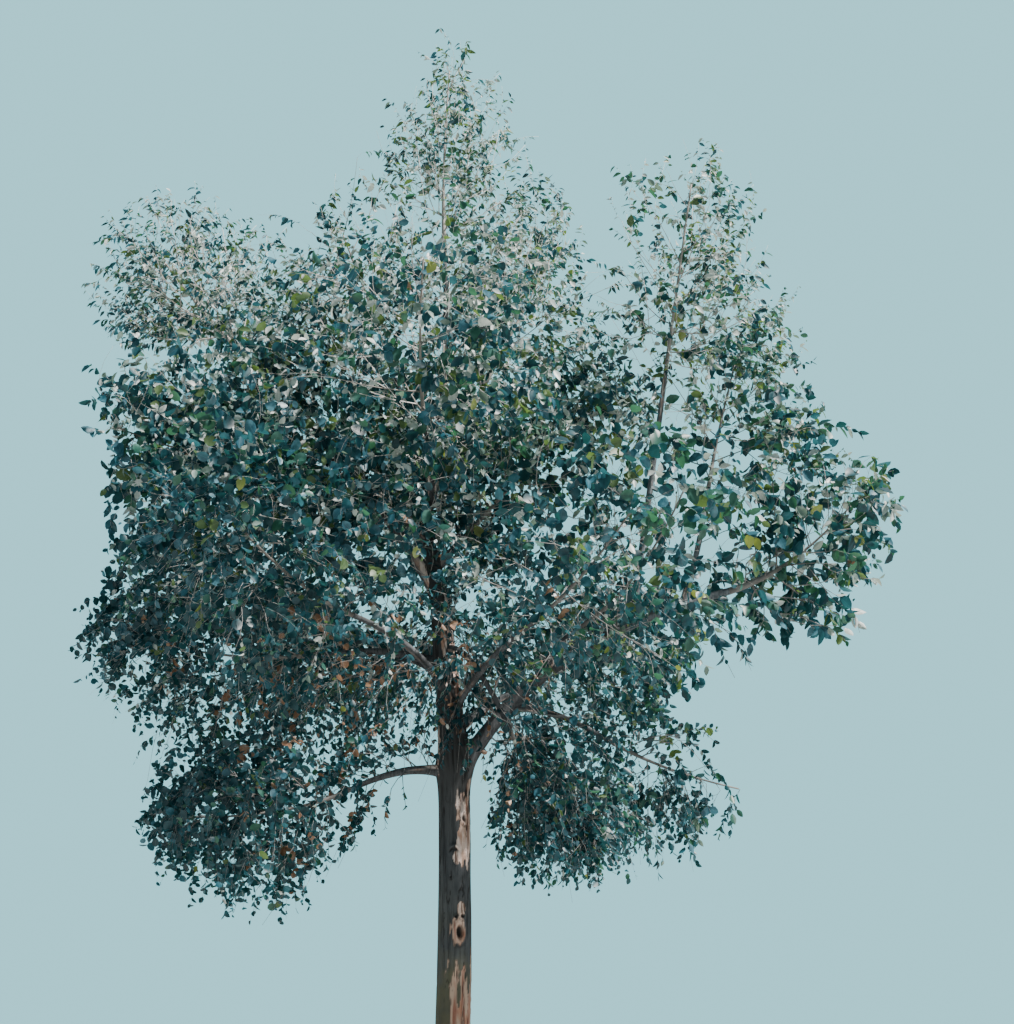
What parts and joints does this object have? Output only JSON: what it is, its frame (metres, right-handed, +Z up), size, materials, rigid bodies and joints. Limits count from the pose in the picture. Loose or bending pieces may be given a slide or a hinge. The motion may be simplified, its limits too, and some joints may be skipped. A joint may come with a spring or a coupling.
{
  "type": "potted cider gum tree",
  "caption": "Young cider gum with an open, many-headed crown of round blue-green leaves on a slim, leaning, peeling trunk, in a plain clay pot.",
  "frame": {"origin": "centre of the pot's flat underside", "axes": "+Z up, +X to the right in the picture, +Y away from the viewer"},
  "size_m": [3.1591, 2.5537, 5.223],
  "materials": {
    "clay_pot": "matt fired clay with pale lime bloom",
    "potting_soil": "crumbly dark potting soil with bits of bark",
    "bark": "smooth blue-grey bark that peels in tan and rust strips",
    "round_foliage": "waxy blue-green leaves with a pale bloom",
    "young_foliage": "waxy silver-green young leaves"
  },
  "bodies": {
    "root": {"pot": "clay_pot", "soil": "potting_soil", "trunk": "bark", "bough_back_left": "bark", "bough_back_right": "bark", "bough_back_upper": "bark", "bough_centre_left": "bark", "bough_centre_right": "bark", "bough_front_left": "bark", "bough_front_right": "bark", "bough_front_upper": "bark", "bough_left_diagonal": "bark", "bough_left_low": "bark", "bough_left_middle": "bark", "bough_left_outer": "bark", "bough_low_right": "bark", "bough_right": "bark", "bough_right_low": "bark", "bough_right_middle": "bark", "bough_right_upper": "bark", "bough_right_upright": "bark", "bough_top": "bark", "bough_upper_left": "bark", "bough_upper_right": "bark", "foliage_back_left": "round_foliage", "foliage_back_right": "round_foliage", "foliage_back_upper": "round_foliage", "foliage_centre_left": "round_foliage", "foliage_centre_right": "round_foliage", "foliage_front_left": "round_foliage", "foliage_front_right": "round_foliage", "foliage_front_upper": "round_foliage", "foliage_left_diagonal": "young_foliage", "foliage_left_low": "round_foliage", "foliage_left_middle": "round_foliage", "foliage_left_outer": "round_foliage", "foliage_low_right": "round_foliage", "foliage_right": "round_foliage", "foliage_right_low": "round_foliage", "foliage_right_middle": "round_foliage", "foliage_right_upper": "round_foliage", "foliage_right_upright": "young_foliage", "foliage_top": "young_foliage", "foliage_upper_left": "young_foliage", "foliage_upper_right": "young_foliage"}
  },
  "joints": []
}
